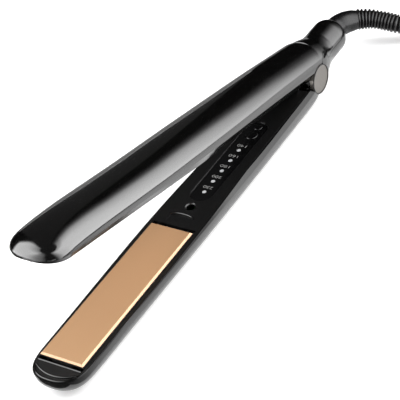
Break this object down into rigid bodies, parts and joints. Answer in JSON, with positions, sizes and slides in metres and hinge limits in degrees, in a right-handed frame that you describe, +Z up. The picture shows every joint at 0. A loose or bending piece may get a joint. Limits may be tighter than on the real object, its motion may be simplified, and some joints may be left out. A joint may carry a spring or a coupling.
{
  "type": "flat iron",
  "caption": "Hair straightener with two long hinged arms, floating metal heating plates, a control panel with indicator lights and a swivelling mains cord wound into a tied hank.",
  "frame": {"origin": "centre of the lower arm's box on the surface that its back rests on, without the cord", "axes": "+X along the lower arm towards the tip of the plates, +Y across the arms along the hinge axis, +Z up, from the lower arm to the upper arm"},
  "size_m": [0.5169, 0.0798, 0.0865],
  "materials": {
    "shell_gloss": "high gloss",
    "cover_matte": "fine matte",
    "hinge_cap": "satin",
    "plate_coat": "copper-coloured ceramic coat, satin",
    "lens_black": "gloss",
    "indicator": "translucent",
    "key_black": "satin",
    "board_green": "solder mask",
    "components": "moulded",
    "frame_plastic": "heat-proof nylon",
    "steel": "brushed",
    "ceramic_white": "alumina, matte",
    "mica": "mica sheet",
    "silicone": "soft silicone",
    "lead_cover": "silicone-covered lead",
    "brass": "polished",
    "cord_black": "satin",
    "tie_black": "woven hook-and-loop strap",
    "pin_metal": "nickel plated"
  },
  "bodies": {
    "lower_arm": {"lower_shell": "shell_gloss", "tail_top_cover": "shell_gloss", "tail_screw": "steel", "lower_inner_cover": "cover_matte", "control_lens": "lens_black", "indicator_lights": "indicator", "control_board": "board_green", "board_parts": "components", "lower_plate_carrier": "frame_plastic", "lower_carrier_screws": "steel", "lower_cushions": "silicone", "lower_heater_leads": "lead_cover", "hinge_pin": "steel", "hinge_cap_right": "hinge_cap", "hinge_cap_left": "hinge_cap", "hinge_spring": "steel", "hinge_leads": "lead_cover", "contact_springs": "brass", "mains_leads": "lead_cover"},
    "lower_plate_set": {"lower_plate": "plate_coat", "lower_heater": "ceramic_white", "lower_insulator": "mica", "lower_heater_clamp": "steel", "thermistor": "components", "lower_thermal_fuse": "steel"},
    "upper_arm": {"upper_shell": "shell_gloss", "upper_inner_cover": "cover_matte", "alignment_peg": "cover_matte", "upper_plate_carrier": "frame_plastic", "upper_carrier_screws": "steel", "upper_cushions": "silicone", "upper_heater_leads": "lead_cover", "hinge_bushes": "frame_plastic"},
    "upper_plate_set": {"upper_plate": "plate_coat", "upper_heater": "ceramic_white", "upper_insulator": "mica", "upper_heater_clamp": "steel", "upper_thermal_fuse": "steel"},
    "power_key": {"power_button": "key_black"},
    "temperature_key": {"temperature_button": "key_black"},
    "cord_swivel": {"swivel_core": "frame_plastic", "slip_rings": "brass", "strain_relief": "cord_black", "power_cord": "cord_black", "cord_hank": "cord_black", "cord_tie": "tie_black", "cord_end": "cord_black", "plug_body": "cord_black", "plug_pins": "pin_metal"}
  },
  "joints": [
    {"name": "arm_hinge", "type": "hinge", "parent": "lower_arm", "child": "upper_arm", "pos_m": [-0.10385, 0, 0.0167], "axis": [0, 1, 0], "range_deg": [0, 14.35], "stiffness_Nm_per_rad": 2, "springref_deg": -8.59, "deforming": ["hinge_spring", "hinge_leads"]},
    {"name": "lower_plate_float", "type": "slide", "parent": "lower_arm", "child": "lower_plate_set", "axis": [0, 0, -1], "range_m": [0, 0.0006], "stiffness_N_per_m": 4000, "springref_m": -0.0005, "deforming": ["lower_cushions", "lower_heater_leads"]},
    {"name": "upper_plate_float", "type": "slide", "parent": "upper_arm", "child": "upper_plate_set", "axis": [-0.2487, 0, 0.9686], "range_m": [0, 0.0006], "stiffness_N_per_m": 4000, "springref_m": -0.0005, "deforming": ["upper_cushions", "upper_heater_leads"]},
    {"name": "power_button_press", "type": "slide", "parent": "lower_arm", "child": "power_key", "axis": [0, 0, -1], "range_m": [0, 0.0004], "stiffness_N_per_m": 2000, "springref_m": -0.0005},
    {"name": "temperature_button_press", "type": "slide", "parent": "lower_arm", "child": "temperature_key", "axis": [0, 0, -1], "range_m": [0, 0.0004], "stiffness_N_per_m": 2000, "springref_m": -0.0005},
    {"name": "cord_swivel_turn", "type": "hinge", "parent": "lower_arm", "child": "cord_swivel", "pos_m": [-0.14715, 0, 0.01797], "axis": [1, 0, 0], "continuous": true}
  ]
}
